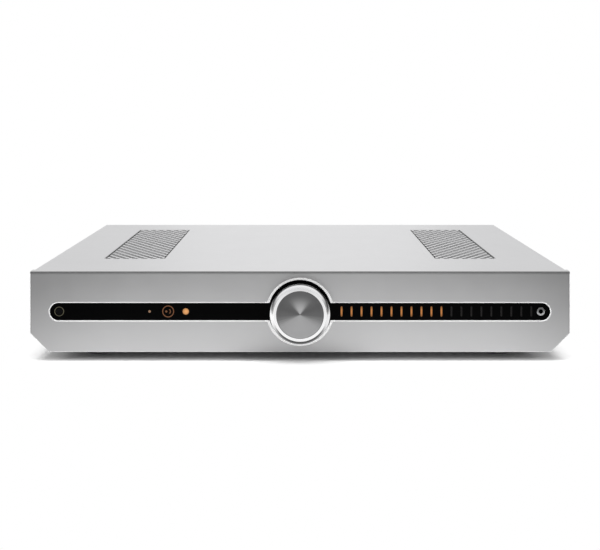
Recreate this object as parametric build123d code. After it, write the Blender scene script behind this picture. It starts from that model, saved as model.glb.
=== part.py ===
from build123d import *
import math
import os

# Full-width integrated stereo amplifier.
# Frame: millimetres, +Z up, front fascia faces -Y, origin on the resting plane under the
# centre of the case. Each piece has a function named after its file.

# ---------------------------------------------------------------- driving dimensions
SIDES = (-1, 1)

# Fascia and case
FASCIA_W = 432.0
FASCIA_T = 8.0
FASCIA_Z0 = 7.3         # lower edge of the fascia
TOP_Z = 72.0            # top of the fascia and cover
CORNER = 15.0           # 45 degree cut on the two lower fascia corners
TOP_EDGE_R = 1.3        # rounding of the upper front fascia edge
CASE_W = 429.0          # outer width of the cover
SHEET = 1.5             # cover, tray, subframe and rear panel sheet
BASE_Z = 12.0           # underside of the tray
TRAY_TOP = BASE_Z + SHEET

# Planes along Y, front to back
Y_FRONT = -174.5        # fascia front
FASCIA_REAR = Y_FRONT + FASCIA_T
SUB_REAR = FASCIA_REAR + SHEET
BOARD_FRONT = -157.5    # front face of the display board
INPUT_Y = 159.6         # rear face of the input board
Y_REAR = 168.0          # outer face of the rear panel
PANEL_INNER = Y_REAR - SHEET
COVER_REAR = Y_REAR + SHEET

# Ranges that cut right through a sheet
FASCIA_CUT = (Y_FRONT - 1, FASCIA_REAR + 1)
SUB_CUT = (FASCIA_REAR - 1, SUB_REAR + 1)
REAR_CUT = (160, 170)
TRAY_CUT = (11, 14)

# Display slot and window
AXIS_Z = 39.5           # height of the slot and knob centre line
SLOT_HALF = 200.3       # half length of the slot
SLOT_R = 7.0            # end radius of the slot
SLOT_CUT_DEPTH, SLOT_CUT_WIDTH = 0.45, 0.80     # chamfer round the slot
KNOB_HOLE_R = 25.4
HOLE_CUT_DEPTH, HOLE_CUT_WIDTH = 0.9, 1.9       # chamfer round the knob hole
POCKET_Y = Y_FRONT + 3.0        # floor of the flange pocket behind the slot
FLANGE_FRONT, FLANGE_REAR = Y_FRONT + 3.1, Y_FRONT + 5.6
WINDOW_Y = -173.3       # front plane of the window, recessed in the slot
INLAY_REAR = WINDOW_Y + 1.0
INLAY_GAP = 0.02        # clearance round each light inlay
END_X = 192.9           # standby button at -X, headphone socket at +X

# Lights
BAR_W, BAR_H = 1.4, 8.2
BAR_LIT = 11
BAR_X = [33.3 + 8.0 * i for i in range(20)]
STATUS_X, ICON_X, DOT_X = -120.5, -105.6, -91.5

# Volume knob
Y_KNOB = -188.5         # front plane of the rim
KNOB_R = 23.75          # rim
KNOB_ROUND = 2.7        # rounding of the rim
SKIRT_R = 23.0
FACE_R = 18.75          # spun face insert
FACE_REAR = -187.0
RIM_REAR = -184.8
GRUB_Y = -177.3
SHAFT_R = 3.0

# Vents in the cover
VENT_W, VENT_L = 51.4, 223.0
VENT_X, VENT_Y = 142.9, 9.5     # vent centre, mirrored in X
VENT_PITCH, VENT_ROWS, VENT_HOLE_R = 8.0, 32, 2.8
VENT_ROW0_Y = VENT_Y - VENT_L / 2 + 2.6
GRILLE_Z = 71.85        # top of the inserts, just below the cover top
VENT_GAP = 0.9          # shadow gap along each long side of the inserts
VENT_END_GAP = 0.5

# Feet
FEET = [(side * 165.0, y) for side in SIDES for y in (-130.0, 125.0)]
FOOT_R = 20.0

# Screw places: (x, z), but (x, y) for the subframe ones
FASCIA_SCREWS = [(x, 62.0) for x in (-196.0, -90.0, 90.0, 196.0)] + \
                [(x, 19.5) for x in (-185.0, -90.0, 90.0, 185.0)]
COVER_SCREWS = [(96.0 * k, 66.2) for k in range(-2, 3)]
TRAY_SCREWS = [(192.0 * k, 17.2) for k in range(-1, 2)]
SUB_SCREWS = [(120.0 * k, SUB_REAR + 6) for k in range(-1, 2)]
M3_TAP_R, M3_CLEAR_R = 1.5, 1.6

# Rear connectors, (x, z) of each
LOW_ROW, HIGH_ROW = 29.0, 49.0
RCAS = [(20.0 * k, z) for k in range(1, 6) for z in (LOW_ROW, HIGH_ROW)]
OPTICALS = [(-20.0, HIGH_ROW), (0.0, HIGH_ROW)]
USB = (-20.0, LOW_ROW)
TRIGGER = (0.0, LOW_ROW)
GROUND = (124.0, LOW_ROW)
POST_X = [-110.0, -90.95, -64.05, -45.0]
POST_Z = 40.0
INLET = (-182.0, 40.0)
ROCKER = (-150.0, 40.0)
ROCKER_Y, ROCKER_TILT = 165.5, 9.0      # pivot plane, tilt in degrees

# Internals
TRANSFORMER = (0, -85)  # x, y
BOLT_R, BOLT_HOLE_R = 3.0, 3.1
BOARD_Z, BOARD_TOP = 22.0, 23.6         # main board


# ---------------------------------------------------------------- helpers
def box(x0, x1, y0, y1, z0, z1):
    return Pos((x0 + x1) / 2, (y0 + y1) / 2, (z0 + z1) / 2) * Box(x1 - x0, y1 - y0, z1 - z0)


def side_box(side, x0, x1, *rest):
    """Box given for +X, on the chosen side."""
    return box(*sorted((side * x0, side * x1)), *rest)


def block_y(x, z, width, height, y0, y1):
    return Pos(x, (y0 + y1) / 2, z) * Box(width, y1 - y0, height)


def block_z(x, y, width, length, z0, z1):
    return Pos(x, y, (z0 + z1) / 2) * Box(width, length, z1 - z0)


def rounded_y(width, height, radius, y0, y1, x=0, z=0):
    plate = block_y(x, z, width, height, y0, y1)
    return fillet(plate.edges().filter_by(Axis.Y), radius)


def rod_y(x, z, radius, y0, y1):
    return Pos(x, (y0 + y1) / 2, z) * Rot(90, 0, 0) * Cylinder(radius, y1 - y0)


def rod_z(x, y, radius, z0, z1):
    return Pos(x, y, (z0 + z1) / 2) * Cylinder(radius, z1 - z0)


def rod_x(y, z, radius, x0, x1):
    return Pos((x0 + x1) / 2, y, z) * Rot(0, 90, 0) * Cylinder(radius, x1 - x0)


def tube_y(x, z, inner, outer, y0, y1):
    return rod_y(x, z, outer, y0, y1) - rod_y(x, z, inner, y0 - 1, y1 + 1)


def extrude_y(sketch, y0, y1):
    plane = Plane(origin=(0, y1, 0), x_dir=(1, 0, 0), z_dir=(0, -1, 0))
    return extrude(plane * sketch, amount=y1 - y0)


def extrude_z(sketch, z0, z1):
    return extrude(Plane(origin=(0, 0, z0)) * sketch, amount=z1 - z0)


def extrude_x(sketch, x0, x1):
    """Extrude a (y, z) sketch along X."""
    plane = Plane(origin=(x0, 0, 0), x_dir=(0, 1, 0), z_dir=(1, 0, 0))
    return extrude(plane * sketch, amount=x1 - x0)


def outline(*points):
    return make_face(Polyline(*points, close=True))


def mirrored(*right):
    """Outline from its right half, listed upwards, and the same points at -x."""
    return outline(*right, *[(-x, z) for x, z in reversed(right)])


def turn_y(x, z, *points):
    """Solid of revolution about the line along Y through (x, z); points are (radius, y)."""
    return Pos(x, 0, z) * revolve(outline(*points), axis=Axis.Y)


def nut_y(x, z, corner_r, bore_r, y0, y1):
    return extrude_y(Pos(x, z) * (RegularPolygon(corner_r, 6) - Circle(bore_r)), y0, y1)


def flutes(x, z, count, ring_r, radius, y0, y1):
    """Ring of cutting rods along Y."""
    angles = [2 * math.pi * k / count for k in range(count)]
    return [rod_y(x + ring_r * math.cos(a), z + ring_r * math.sin(a), radius, y0, y1)
            for a in angles]


def at(place, shape):
    """Move a shape built round the Y axis to its (x, z) place."""
    return Pos(place[0], 0, place[1]) * shape


def save(name, shapes):
    if not isinstance(shapes, list):
        shapes = [shapes]
    solids = [solid for shape in shapes for solid in shape.solids()]
    piece = solids[0] if len(solids) == 1 else Compound(solids)
    export_step(piece, f"parts/{name}.step")


# ---------------------------------------------------------------- fascia
def flange_sketch(width, height, knob_r):
    return Pos(0, AXIS_Z) * (RectangleRounded(width, height, 3.0) + Circle(knob_r))


def front_panel():
    half = FASCIA_W / 2
    panel = extrude_y(mirrored((half - CORNER, FASCIA_Z0), (half, FASCIA_Z0 + CORNER),
                               (half, TOP_Z)), Y_FRONT, FASCIA_REAR)
    top_edge = panel.edges().filter_by(Axis.X).filter_by(
        lambda e: e.center().Z > TOP_Z - 0.01 and e.center().Y < Y_FRONT + 0.01)
    panel = fillet(top_edge, TOP_EDGE_R)
    front = panel.faces().sort_by(Axis.Y)[0]
    panel = chamfer(front.outer_wire().edges().filter_by(
        lambda e: e.center().Z < TOP_Z - TOP_EDGE_R - 0.01), 0.4)

    panel -= extrude_y(Pos(0, AXIS_Z) * SlotOverall(2 * SLOT_HALF, 2 * SLOT_R), *FASCIA_CUT)
    front = panel.faces().sort_by(Axis.Y)[0]
    panel = chamfer(front.inner_wires()[0].edges(), SLOT_CUT_WIDTH,
                    length2=SLOT_CUT_DEPTH, reference=front)

    # the chamfer cone runs on to 1 mm in front of the fascia
    flare_r = KNOB_HOLE_R + HOLE_CUT_WIDTH * (1 + 1 / HOLE_CUT_DEPTH)
    panel -= turn_y(0, AXIS_Z, (0, FASCIA_CUT[0]), (flare_r, FASCIA_CUT[0]),
                    (KNOB_HOLE_R, Y_FRONT + HOLE_CUT_DEPTH),
                    (KNOB_HOLE_R, FASCIA_CUT[1]), (0, FASCIA_CUT[1]))
    panel -= extrude_y(flange_sketch(411.6, 18.8, 29.0), POCKET_Y, FASCIA_CUT[1])
    panel -= [rod_y(x, z, 2.02, FASCIA_REAR - 4.5, FASCIA_CUT[1]) for x, z in FASCIA_SCREWS]
    return panel


# ---------------------------------------------------------------- window and light inlays
def bar_sketch(x, grow=0.0):
    return Pos(x, AXIS_Z) * SlotOverall(BAR_H + 2 * grow, BAR_W + 2 * grow, rotation=90)


def ring_sketch(x, inner, outer, grow):
    return Pos(x, AXIS_Z) * (Circle(outer + grow) - Circle(inner - grow))


def standby_ring_sketch(grow=0.0):
    return ring_sketch(-END_X, 3.3, 3.85, grow)


def wave_sketch(grow):
    """A plain sound-wave mark: a dot with one quarter arc beside it."""
    arc = (Circle(2.75 + grow) - Circle(2.05 - grow)) & \
        Pos(3.0, 0) * Rectangle(3.6, 3.4 + 2 * grow)
    return Pos(ICON_X - 0.6, AXIS_Z) * (Pos(-0.9, 0) * Circle(0.85 + grow) + arc)


def source_sketches(grow=0.0):
    return [ring_sketch(ICON_X, 4.05, 4.75, grow), wave_sketch(grow),
            Pos(DOT_X, AXIS_Z) * Circle(2.5 + grow),
            Pos(STATUS_X, AXIS_Z) * Circle(1.0 + grow)]


def inlay(sketch):
    return extrude_y(sketch, WINDOW_Y, INLAY_REAR)


def display_window():
    slot = SlotOverall(2 * (SLOT_HALF - 0.1), 2 * (SLOT_R - 0.1)) + Circle(KNOB_HOLE_R - 0.2)
    window = extrude_y(Pos(0, AXIS_Z) * slot, WINDOW_Y, FLANGE_FRONT)
    window += extrude_y(flange_sketch(411.0, 18.4, 28.7), FLANGE_FRONT, FLANGE_REAR)
    # holes for the encoder, standby button and headphone bezel
    window -= extrude_y(
        Pos(0, AXIS_Z) * Circle(12.0) + Pos(-END_X, AXIS_Z) * Circle(3.05)
        + Pos(END_X, AXIS_Z) * Circle(3.3), WINDOW_Y - 1, Y_FRONT + 7)
    sketches = [bar_sketch(x, INLAY_GAP) for x in BAR_X]
    sketches += source_sketches(INLAY_GAP) + [standby_ring_sketch(INLAY_GAP)]
    window -= [extrude_y(s, WINDOW_Y - 1, INLAY_REAR + INLAY_GAP) for s in sketches]
    return window


def level_bars_lit():
    return [inlay(bar_sketch(x)) for x in BAR_X[:BAR_LIT]]


def level_bars_unlit():
    return [inlay(bar_sketch(x)) for x in BAR_X[BAR_LIT:]]


def source_lights():
    return [inlay(sketch) for sketch in source_sketches()]


def standby_ring_light():
    return inlay(standby_ring_sketch())


# ---------------------------------------------------------------- subframe behind the fascia
def front_subframe():
    frame = extrude_y(mirrored((203, TRAY_TOP), (210.5, 21), (210.5, 70.3)),
                      FASCIA_REAR, SUB_REAR)
    frame += box(-195, 195, SUB_REAR, SUB_REAR + 12, TRAY_TOP, TRAY_TOP + SHEET)
    # openings for the level bars and source lights, then the three controls
    frame -= [box(28, 188.5, *SUB_CUT, 34, 45), box(-126, -86, *SUB_CUT, 34, 45),
              rod_y(0, AXIS_Z, 3.6, *SUB_CUT), rod_y(-END_X, AXIS_Z, 4.5, *SUB_CUT),
              rod_y(END_X, AXIS_Z, 3.15, *SUB_CUT)]
    frame -= [rod_y(x, z, 2.2, *SUB_CUT) for x, z in FASCIA_SCREWS]
    frame -= [rod_z(x, y, M3_TAP_R, 12, 16) for x, y in SUB_SCREWS]
    return frame


# ---------------------------------------------------------------- volume knob and encoder
def d_rod(radius, flat, y0, y1):
    """Rod on the knob axis with a flat below, `flat` from the axis, back to y = -173."""
    return rod_y(0, AXIS_Z, radius, y0, y1) - \
        box(-4, 4, y0 - 1, -173, AXIS_Z - 5, AXIS_Z - flat)


def knob_core():
    core = turn_y(0, AXIS_Z,
                  (0, FACE_REAR), (FACE_R, FACE_REAR), (FACE_R, RIM_REAR),
                  (SKIRT_R, RIM_REAR), (SKIRT_R, -174.1), (20.9, -174.1), (20.9, -180.5),
                  (6.5, -180.5), (6.5, -174.5), (0, -174.5))
    core -= d_rod(SHAFT_R + 0.03, 1.53, -184.2, -174.0)
    # grub screw hole in the hub, and access to it through the skirt
    core -= rod_z(0, GRUB_Y, 1.52, AXIS_Z - 6.6, AXIS_Z - 1.4)
    core -= rod_z(0, GRUB_Y, 1.7, AXIS_Z - 24, AXIS_Z - 20)
    return core


def knob_rim():
    bore_r = FACE_R + 0.05
    arc_start = (KNOB_R - KNOB_ROUND, Y_KNOB)
    arc_end = (KNOB_R, Y_KNOB + KNOB_ROUND)
    profile = make_face([
        Line((bore_r, Y_KNOB), arc_start),
        RadiusArc(arc_start, arc_end, KNOB_ROUND),
        Line(arc_end, (KNOB_R, RIM_REAR)),
        Line((KNOB_R, RIM_REAR), (bore_r, RIM_REAR)),
        Line((bore_r, RIM_REAR), (bore_r, Y_KNOB))])
    return Pos(0, 0, AXIS_Z) * revolve(profile, axis=Axis.Y)


def knob_face():
    return rod_y(0, AXIS_Z, FACE_R, FACE_REAR - 1.0, FACE_REAR)


def knob_grub_screw():
    socket = extrude(Plane(origin=(0, GRUB_Y, AXIS_Z - 6.4)) * RegularPolygon(0.87, 6),
                     amount=2.0)
    return rod_z(0, GRUB_Y, 1.5, AXIS_Z - 6.3, AXIS_Z - 1.6) - socket


def encoder_shaft():
    return d_rod(SHAFT_R, 1.5, -184.0, -160.2)


def encoder_plunger():
    return rod_y(0, AXIS_Z, 2.9, -160.1, -158.9)


def encoder_body():
    body = block_y(0, AXIS_Z, 13, 12, SUB_REAR, BOARD_FRONT)
    body += rod_y(0, AXIS_Z, 3.5, -171.0, SUB_REAR)
    body -= rod_y(0, AXIS_Z, SHAFT_R + 0.06, -172, -158.3)
    return body


def encoder_nut():
    return nut_y(0, AXIS_Z, 6.35, 3.53, FASCIA_REAR - 2.1, FASCIA_REAR)


# ---------------------------------------------------------------- standby and headphones
def standby_button():
    button = rod_y(-END_X, AXIS_Z, 2.85, -173.5, -168.8)
    button += rod_y(-END_X, AXIS_Z, 4.3, -168.8, -167.8)
    button += rod_y(-END_X, AXIS_Z, 1.6, -167.8, -160.1)
    return fillet(button.faces().sort_by(Axis.Y)[0].edges(), 0.25)


def standby_switch():
    return block_y(-END_X, AXIS_Z, 6, 6, -161.0, BOARD_FRONT) - \
        rod_y(-END_X, AXIS_Z, 1.75, -162, -158.9)


def headphone_jack():
    jack = block_y(END_X, AXIS_Z, 9, 11, SUB_REAR, BOARD_FRONT)
    jack += rod_y(END_X, AXIS_Z, 3.0, WINDOW_Y, SUB_REAR)
    jack -= rod_y(END_X, AXIS_Z, 1.8, WINDOW_Y - 1, -158.3)
    return jack


def headphone_bezel():
    bezel = rod_y(END_X, AXIS_Z, 3.25, -174.1, -167.0)
    bezel -= rod_y(END_X, AXIS_Z, 3.03, -173.35, -166.0)
    bezel -= rod_y(END_X, AXIS_Z, 1.8, -175, -173.0)
    return chamfer(bezel.faces().sort_by(Axis.Y)[0].edges(), 0.2)


# ---------------------------------------------------------------- display board
def display_board():
    return box(-204, 204, BOARD_FRONT, BOARD_FRONT + 1.6, 27, 52)


def display_leds():
    return [block_y(x, AXIS_Z, 2.8, 3.5, BOARD_FRONT - 1.9, BOARD_FRONT)
            for x in BAR_X + [ICON_X, DOT_X, STATUS_X]]


# ---------------------------------------------------------------- tray, cover, rear panel
def base_tray():
    # right half of the section, (x, z): up the outside, down the inside
    section = mirrored((203.9, BASE_Z), (214.4, 22.5), (214.4, 23.4), (212.9, 23.4),
                       (212.9, 36), (211.4, 36), (211.4, 21.6), (203.28, TRAY_TOP))
    tray = extrude_y(section, SUB_REAR, PANEL_INNER)
    tray += box(-198, 198, PANEL_INNER - SHEET, PANEL_INNER, TRAY_TOP, 20.5)
    tray -= [extrude_z(Pos(side * 146, -92 + 15.0 * k) * SlotOverall(44, 4), *TRAY_CUT)
             for side in SIDES for k in range(14)]
    tray -= [rod_z(x, y, 2.02, *TRAY_CUT) for x, y in FEET]
    tray -= [rod_z(x, y, M3_CLEAR_R, *TRAY_CUT) for x, y in SUB_SCREWS]
    tray -= rod_z(*TRANSFORMER, BOLT_HOLE_R, *TRAY_CUT)
    tray -= [rod_y(x, z, M3_TAP_R, *REAR_CUT) for x, z in TRAY_SCREWS]
    return tray


def top_cover():
    half = CASE_W / 2
    under = TOP_Z - SHEET
    cover = box(-half, half, FASCIA_REAR, COVER_REAR, under, TOP_Z)
    for side in SIDES:
        cover += side_box(side, half - SHEET, half, FASCIA_REAR, COVER_REAR, 23.6, under)
    cover += box(-half + SHEET, half - SHEET, Y_REAR, COVER_REAR, 61.5, under)
    long_edges = cover.edges().filter_by(Axis.Y).filter_by(
        lambda e: abs(abs(e.center().X) - half) < 0.01 and abs(e.center().Z - TOP_Z) < 0.01)
    cover = fillet(long_edges, 1.2)
    for side in SIDES:
        opening = Pos(side * VENT_X, VENT_Y) * RectangleRounded(VENT_W, VENT_L, 3.0)
        cover -= extrude_z(opening, TOP_Z - 3, TOP_Z + 1)
    cover -= [rod_y(x, z, M3_CLEAR_R, *REAR_CUT) for x, z in COVER_SCREWS]
    return cover


def vent_grille(side):
    """Perforated panel that stands in the cover opening, on a flange under the cover."""
    centre_x = side * VENT_X
    half_w, half_l = VENT_W / 2 - VENT_GAP, VENT_L / 2 - VENT_END_GAP

    def plate(width, length, radius, z0, z1):
        sketch = Pos(centre_x, VENT_Y) * RectangleRounded(width, length, radius)
        return extrude_z(sketch, z0, z1)

    body = plate(VENT_W + 9, VENT_L + 9, 4.0, 69.3, 70.45)
    body += plate(2 * half_w, 2 * half_l, 2.0, 70.45, GRILLE_Z)
    body -= plate(2 * half_w - 2.0, 2 * half_l - 2.0, 1.5, 69.0, GRILLE_Z - 1.0)
    # the staggered holes run out over the edge of the raised panel, so it is scalloped
    raised = block_z(centre_x, VENT_Y, 2 * half_w, 2 * half_l, 68.0, 74.0)
    holes = []
    for row in range(VENT_ROWS):
        y = VENT_ROW0_Y + row * VENT_PITCH * math.sqrt(3) / 2
        count = 7 - row % 2
        for k in range(count):
            x = (k - (count - 1) / 2) * VENT_PITCH
            hole = rod_z(centre_x + x, y, VENT_HOLE_R, 69.0, 73.0)
            inside = (abs(x) < half_w - VENT_HOLE_R
                      and abs(y - VENT_Y) < half_l - VENT_HOLE_R)
            holes.append(hole if inside else hole & raised)
    return body - holes


def vent_grilles():
    return [vent_grille(side) for side in SIDES]


def rear_panel():
    panel = extrude_y(mirrored((203.9, BASE_Z), (212.8, 20.9), (212.8, 70.4)),
                      PANEL_INNER, Y_REAR)
    panel -= [rod_y(x, z, 4.4, *REAR_CUT) for x, z in RCAS]
    panel -= [rod_y(x, POST_Z, 5.0, *REAR_CUT) for x in POST_X]
    panel -= [rod_y(*GROUND, 2.1, *REAR_CUT), block_y(*INLET, 26.6, 32.6, *REAR_CUT),
              block_y(*ROCKER, 13.0, 22.0, *REAR_CUT)]
    panel -= [block_y(x, z, 10.4, 10.4, *REAR_CUT) for x, z in OPTICALS]
    panel -= [block_y(*USB, 12.4, 11.4, *REAR_CUT), rod_y(*TRIGGER, 3.2, *REAR_CUT)]
    panel -= [rod_y(x, z, M3_TAP_R, *REAR_CUT) for x, z in COVER_SCREWS]
    panel -= [rod_y(x, z, M3_CLEAR_R, *REAR_CUT) for x, z in TRAY_SCREWS]
    return panel


# ---------------------------------------------------------------- feet and screws
def feet():
    # (radius, z)
    profile = outline((0, 2.5), (17.1, 2.5), (17.1, 1.0), (18.6, 1.0), (FOOT_R, 4.5),
                      (FOOT_R, 11.0), (FOOT_R - 1, BASE_Z), (0, BASE_Z))
    foot = revolve(Plane.XZ * profile, axis=Axis.Z)
    foot = foot - rod_z(0, 0, 4.6, 0, 7.0) - rod_z(0, 0, 2.2, 0, 13)
    return [Pos(x, y, 0) * foot for x, y in FEET]


def foot_pads():
    pad = rod_z(0, 0, 17.0, 0, 2.45) - rod_z(0, 0, 5.0, -1, 3)
    return [Pos(x, y, 0) * pad for x, y in FEET]


def pan_screw(shank_r, head_r, head_h, length):
    """Pan-head screw along +Z, head below z = 0, with a cross recess."""
    screw = rod_z(0, 0, head_r, -head_h, 0) + rod_z(0, 0, shank_r, 0, length)
    recess = (-head_h - 1, -0.55 * head_h)
    screw -= [block_z(0, 0, 1.1 * head_r, 0.7, *recess),
              block_z(0, 0, 0.7, 1.1 * head_r, *recess)]
    return screw


def foot_screws():
    screw = pan_screw(shank_r=2.0, head_r=3.9, head_h=2.6, length=8.6)
    return [Pos(x, y, 7.0) * screw for x, y in FEET]


DRIVEN_FORWARD = Rot(90, 0, 0)   # turns a screw so that it points to -Y, head to the rear


def case_screws():
    screw = pan_screw(shank_r=1.48, head_r=2.8, head_h=1.6, length=5.5)
    return [*[Pos(x, COVER_REAR, z) * DRIVEN_FORWARD * screw for x, z in COVER_SCREWS],
            *[Pos(x, Y_REAR, z) * DRIVEN_FORWARD * screw for x, z in TRAY_SCREWS],
            *[Pos(x, y, BASE_Z) * screw for x, y in SUB_SCREWS]]


def fascia_screws():
    screw = pan_screw(shank_r=1.98, head_r=3.4, head_h=2.2, length=5.6)
    return [Pos(x, SUB_REAR, z) * DRIVEN_FORWARD * screw for x, z in FASCIA_SCREWS]


# ---------------------------------------------------------------- input sockets
def rca_sockets():
    shells = []
    for x, z in RCAS:
        shells.append(turn_y(
            x, z, (3.4, INPUT_Y), (4.15, INPUT_Y), (4.15, Y_REAR), (6.0, Y_REAR),
            (6.0, Y_REAR + 1.6), (4.15, Y_REAR + 1.6), (4.15, 178.2), (3.9, 178.6),
            (3.4, 178.6)))
        # hollow centre contact
        shells.append(rod_y(x, z, 2.1, INPUT_Y, 176.0) - rod_y(x, z, 1.6, 165.0, 177.0))
    return shells


def rca_insulators():
    return [tube_y(x, z, 2.12, 3.38, INPUT_Y, 176.6) for x, z in RCAS]


def input_board():
    return box(-30, 134, INPUT_Y - 1.6, INPUT_Y, 20.6, 60) - \
        block_y(*TRIGGER, 10.6, 10.6, 150, 165)


def optical_socket():
    socket = block_y(0, 0, 10, 10, INPUT_Y, 169.4)
    socket -= extrude_y(mirrored((3.9, -3.9), (3.9, 2.4), (2.4, 3.9)), 167.4, 171)
    socket -= [side_box(side, 3.9, 4.3, 167.0, 171, -1.0, 1.0) for side in SIDES]
    socket -= box(-3.0, 3.0, 167.15, 168, -3.1, -2.85)
    return socket


def usb_socket():
    socket = block_y(0, 0, 12, 11, INPUT_Y, 170.0)
    socket -= extrude_y(mirrored((4.25, -3.9), (4.25, 2.2), (2.6, 3.9)), 161.5, 171)
    socket += block_y(0, 0, 5.6, 3.0, 161.0, 169.0)
    return socket


def trigger_socket():
    socket = block_y(0, 0, 10, 10, 152.6, PANEL_INNER)
    socket += rod_y(0, 0, 3.05, PANEL_INNER, Y_REAR)
    socket += rod_y(0, 0, 4.4, Y_REAR, 169.6)
    socket -= rod_y(0, 0, 1.8, 154.6, 171)
    return socket


def digital_sockets():
    return [*[at(place, optical_socket()) for place in OPTICALS],
            at(USB, usb_socket()), at(TRIGGER, trigger_socket())]


# ---------------------------------------------------------------- speaker and earth terminals
def terminal_plate():
    centre_x = (POST_X[0] + POST_X[-1]) / 2
    plate = rounded_y(88, 24, 2.0, Y_REAR, Y_REAR + 3, x=centre_x, z=POST_Z)
    for x in POST_X:
        plate += rod_y(x, POST_Z, 7.2, Y_REAR + 3, 173.9)
        plate += rod_y(x, POST_Z, 4.8, 165.0, Y_REAR)
    plate -= [rod_y(x, POST_Z, 3.03, 160, 176) for x in POST_X]
    return plate


def speaker_posts():
    posts = []
    for x in POST_X:
        stud = rod_y(x, POST_Z, 3.0, 148.0, 188.0)
        stud -= rod_y(x, POST_Z, 2.05, 177.6, 189.0)            # bore in the outer end
        stud -= rod_z(x, 175.6, 1.4, POST_Z - 4, POST_Z + 4)    # cross hole
        posts += [stud, nut_y(x, POST_Z, 6.0, 3.02, 160.4, 164.9)]
    return posts


def speaker_cap(x):
    end_y = 188.5
    cap = turn_y(x, POST_Z, (3.06, 175.6), (6.0, 175.6), (7.0, 176.6), (7.0, 187.5),
                 (6.2, end_y), (3.06, end_y))
    return cap - flutes(x, POST_Z, 12, 7.55, 1.0, 174.5, 190.5)


def clamp_washer(x):
    return tube_y(x, POST_Z, 3.06, 5.6, 174.0, 175.5)


def ground_post():
    return rod_y(*GROUND, 2.0, 159.7, 184.0) + \
        extrude_y(Pos(*GROUND) * RegularPolygon(5.2, 6), Y_REAR, 170.1)


def ground_washer():
    return tube_y(*GROUND, 2.05, 4.4, 170.2, 171.1)


def ground_nut():
    nut = turn_y(*GROUND, (2.05, 171.2), (4.3, 171.2), (4.75, 171.7), (4.75, 177.8),
                 (4.3, 178.3), (2.05, 178.3))
    return nut - flutes(*GROUND, 24, 4.95, 0.42, 170, 180)


# ---------------------------------------------------------------- mains inlet and switch
def mains_inlet():
    inlet = rounded_y(29, 35, 2.0, Y_REAR, Y_REAR + 2.5)
    inlet += block_y(0, 0, 26, 32, 147, Y_REAR)
    # plug cavity above, fuse drawer bay below
    inlet -= [extrude_y(mirrored((11.8, -1.6), (11.8, 9.0), (7.0, 13.9)), 153.5, 172),
              box(-11.3, 11.3, 149.5, 172, -14.8, -6.8)]
    pins = [block_y(x, z, 2.0, 4.0, 153.5, 168.0) for x, z in ((-7, 4), (7, 4), (0, 8.5))]
    return [at(INLET, shape) for shape in (inlet, *pins)]


def fuse_drawer():
    drawer = box(-11.1, 11.1, 150.0, 170.7, -14.6, -7.0)
    drawer += box(-12, 12, 170.7, 172.3, -15.4, -6.2)
    drawer -= [box(-10.4, 10.4, 156.8, 163.2, -13.8, -6.0),
               box(-4, 4, 171.6, 173, -12.2, -9.4)]
    return at(INLET, drawer)


def rocker_housing():
    housing = rounded_y(15, 24, 1.2, Y_REAR, Y_REAR + 2.0)
    housing += block_y(0, 0, 12.6, 21.6, 150, Y_REAR)
    housing -= [block_y(0, 0, 10.6, 18.8, 158, 171), rod_x(ROCKER_Y, 0, 1.02, -7, 7)]
    pivot = rod_x(ROCKER_Y, 0, 1.0, -6.2, 6.2)
    return [at(ROCKER, housing), at(ROCKER, pivot)]


def power_rocker():
    # (y, z) about the pivot
    profile = outline((4.6, -8.6), (3.2, 0), (4.6, 8.6), (-1.5, 8.6), (-4.5, 3.0),
                      (-4.5, -3.0), (-1.5, -8.6))
    rocker = extrude_x(profile, -5.1, 5.1)
    rocker -= rod_x(0, 0, 1.06, -10, 10)
    return at(ROCKER, Pos(0, ROCKER_Y, 0) * Rot(ROCKER_TILT, 0, 0) * rocker)


# ---------------------------------------------------------------- internals
def heatsink(side):
    sink = side_box(side, 115.0, 119.0, -100, 115, TRAY_TOP, 66.0)
    for k in range(22):
        y = -99.0 + 10.1 * k
        sink += side_box(side, 118.5, 172.0, y, y + 1.8, 20.0, 66.0)
    return sink


def heatsinks():
    return [heatsink(side) for side in SIDES]


def power_transistor(side, y):
    body = side_box(side, 110.0, 115.0, y - 9.5, y + 9.5, 30, 56)
    for leg_y in (y - 5.4, y, y + 5.4):
        body += side_box(side, 111.6, 112.4, leg_y - 0.6, leg_y + 0.6, BOARD_TOP, 30.0)
    return body


def power_transistors():
    return [power_transistor(side, 30.0 + 22.0 * k) for side in SIDES for k in range(4)]


def toroidal_transformer():
    section = Pos(38.5, 36.8) * RectangleRounded(37.0, 46.4, 8.0)
    return Pos(*TRANSFORMER, 0) * revolve(Plane.XZ * section, axis=Axis.Z)


def transformer_clamp():
    plate = rod_z(*TRANSFORMER, 36.0, 60.0, 62.0) + rod_z(*TRANSFORMER, 17.5, 56.0, 60.0)
    plate -= rod_z(*TRANSFORMER, BOLT_HOLE_R, 50, 70)
    bolt = rod_z(*TRANSFORMER, BOLT_R, 9.4, 67.0) + rod_z(*TRANSFORMER, 6.0, 9.4, BASE_Z)
    nut = extrude_z(Pos(*TRANSFORMER) * (RegularPolygon(5.8, 6) - Circle(3.02)), 62.0, 66.5)
    return [plate, bolt, nut]


def main_board():
    return box(-114, 114, -20, 150, BOARD_Z, BOARD_TOP)


def reservoir_capacitors():
    cans = [rod_z(x, 2.0, 14.8, BOARD_TOP, 61.6) for x in (-50.0, -16.5, 16.5, 50.0)]
    return [chamfer(can.edges().filter_by(GeomType.CIRCLE), 1.0) for can in cans]


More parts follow.
